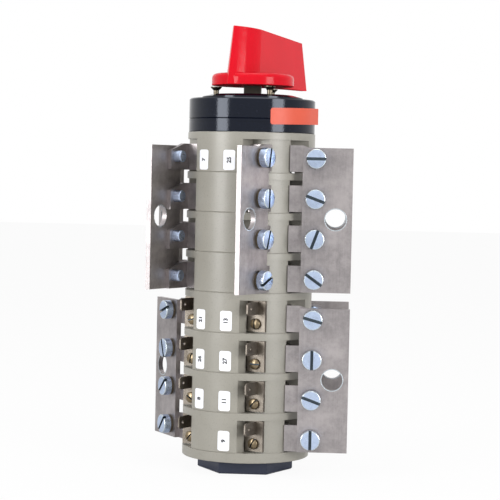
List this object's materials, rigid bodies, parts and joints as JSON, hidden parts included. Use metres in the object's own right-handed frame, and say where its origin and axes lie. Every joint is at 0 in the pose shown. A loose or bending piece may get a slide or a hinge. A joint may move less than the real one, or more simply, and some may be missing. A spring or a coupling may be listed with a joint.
{
  "type": "cam switch",
  "caption": "Rotary cam switch: stacked round contact stages with side busbars, black latch housing and red pointer handle.",
  "frame": {"origin": "centre of the end cap's underside, on the shaft's axis", "axes": "+Z along the shaft towards the handle; +X along the wall that carries terminals T2 and T3, T2 facing -Y"},
  "size_m": [0.102, 0.1178, 0.2258],
  "materials": {
    "red_plastic": "glossy moulded thermoplastic",
    "black_plastic": "semi-gloss moulded thermoset",
    "beige_plastic": "satin moulded thermoset",
    "tinned_copper": "tin-plated, lightly brushed",
    "zinc_steel": "blue zinc plating",
    "yellow_steel": "yellow-passivated steel",
    "brass": "turned brass",
    "dark_steel": "oiled dark steel",
    "cam_plastic": "natural moulded plastic",
    "contact_copper": "copper bridge with silver tips",
    "spring_steel": "spring steel"
  },
  "bodies": {
    "switch_body": {"clamp_screws": "brass", "end_cap": "black_plastic", "end_cover": "beige_plastic", "free_terminals": "tinned_copper", "latch_base": "black_plastic", "latch_housing": "black_plastic", "latch_springs": "spring_steel", "lower_busbar_screws": "zinc_steel", "lower_busbar_t2": "tinned_copper", "lower_busbar_t3": "tinned_copper", "lower_busbar_t4": "tinned_copper", "lower_busbar_t5": "tinned_copper", "lower_straps": "tinned_copper", "mounting_screws": "yellow_steel", "stage_housing_1": "beige_plastic", "stage_housing_2": "beige_plastic", "stage_housing_3": "beige_plastic", "stage_housing_4": "beige_plastic", "stage_housing_5": "beige_plastic", "stage_housing_6": "beige_plastic", "stage_housing_7": "beige_plastic", "stage_housing_8": "beige_plastic", "threaded_inserts": "brass", "tie_bolts": "zinc_steel", "upper_busbar_screws": "zinc_steel", "upper_busbar_t1": "tinned_copper", "upper_busbar_t2": "tinned_copper", "upper_busbar_t3": "tinned_copper", "upper_busbar_t4": "tinned_copper", "upper_busbar_t5": "tinned_copper", "upper_busbar_t6": "tinned_copper", "upper_straps": "tinned_copper"},
    "rotor": {"handle": "red_plastic", "handle_screw": "zinc_steel", "shaft": "dark_steel", "upper_cams": "cam_plastic", "lower_cams": "cam_plastic", "star_wheel": "dark_steel"},
    "upper_carrier_a": {"upper_plungers_a": "cam_plastic", "upper_bridges_a": "contact_copper", "upper_springs_a": "spring_steel"},
    "upper_carrier_b": {"upper_plungers_b": "cam_plastic", "upper_bridges_b": "contact_copper", "upper_springs_b": "spring_steel"},
    "upper_carrier_c": {"upper_plungers_c": "cam_plastic", "upper_bridges_c": "contact_copper", "upper_springs_c": "spring_steel"},
    "lower_carrier_a": {"lower_plungers_a": "cam_plastic", "lower_bridges_a": "contact_copper", "lower_springs_a": "spring_steel"},
    "lower_carrier_b": {"lower_plungers_b": "cam_plastic", "lower_bridges_b": "contact_copper", "lower_springs_b": "spring_steel"},
    "lower_carrier_c": {"lower_plungers_c": "cam_plastic", "lower_bridges_c": "contact_copper", "lower_springs_c": "spring_steel"},
    "front_latch": {"latch_slider_front": "cam_plastic"},
    "rear_latch": {"latch_slider_rear": "cam_plastic"}
  },
  "joints": [
    {"name": "handle_turn", "type": "hinge", "parent": "switch_body", "child": "rotor", "pos_m": [0, 0, 0.1791], "axis": [0, 0, 1], "range_deg": [-45, 45]},
    {"name": "upper_contacts_a", "type": "slide", "parent": "switch_body", "child": "upper_carrier_a", "axis": [-0.5, -0.866, 0], "range_m": [-0.0015, 0.0015]},
    {"name": "upper_contacts_b", "type": "slide", "parent": "switch_body", "child": "upper_carrier_b", "axis": [1, 0, 0], "range_m": [-0.0015, 0.0015]},
    {"name": "upper_contacts_c", "type": "slide", "parent": "switch_body", "child": "upper_carrier_c", "axis": [-0.5, 0.866, 0], "range_m": [-0.0015, 0.0015]},
    {"name": "lower_contacts_a", "type": "slide", "parent": "switch_body", "child": "lower_carrier_a", "axis": [-0.5, -0.866, 0], "range_m": [-0.0015, 0.0015]},
    {"name": "lower_contacts_b", "type": "slide", "parent": "switch_body", "child": "lower_carrier_b", "axis": [1, 0, 0], "range_m": [-0.0015, 0.0015]},
    {"name": "lower_contacts_c", "type": "slide", "parent": "switch_body", "child": "lower_carrier_c", "axis": [-0.5, 0.866, 0], "range_m": [-0.0015, 0.0015]},
    {"name": "front_latch_slide", "type": "slide", "parent": "switch_body", "child": "front_latch", "axis": [0, 1, 0], "range_m": [0, 0.0012]},
    {"name": "rear_latch_slide", "type": "slide", "parent": "switch_body", "child": "rear_latch", "axis": [0, -1, 0], "range_m": [0, 0.0012]}
  ],
  "couplings": [
    {"joint": "upper_contacts_a", "follows": "handle_turn", "m_per_rad": 0.0019098},
    {"joint": "upper_contacts_b", "follows": "handle_turn", "m_per_rad": 0.0019098},
    {"joint": "upper_contacts_c", "follows": "handle_turn", "m_per_rad": 0.0019098},
    {"joint": "lower_contacts_a", "follows": "handle_turn", "m_per_rad": -0.0019098},
    {"joint": "lower_contacts_b", "follows": "handle_turn", "m_per_rad": -0.0019098},
    {"joint": "lower_contacts_c", "follows": "handle_turn", "m_per_rad": -0.0019098}
  ]
}
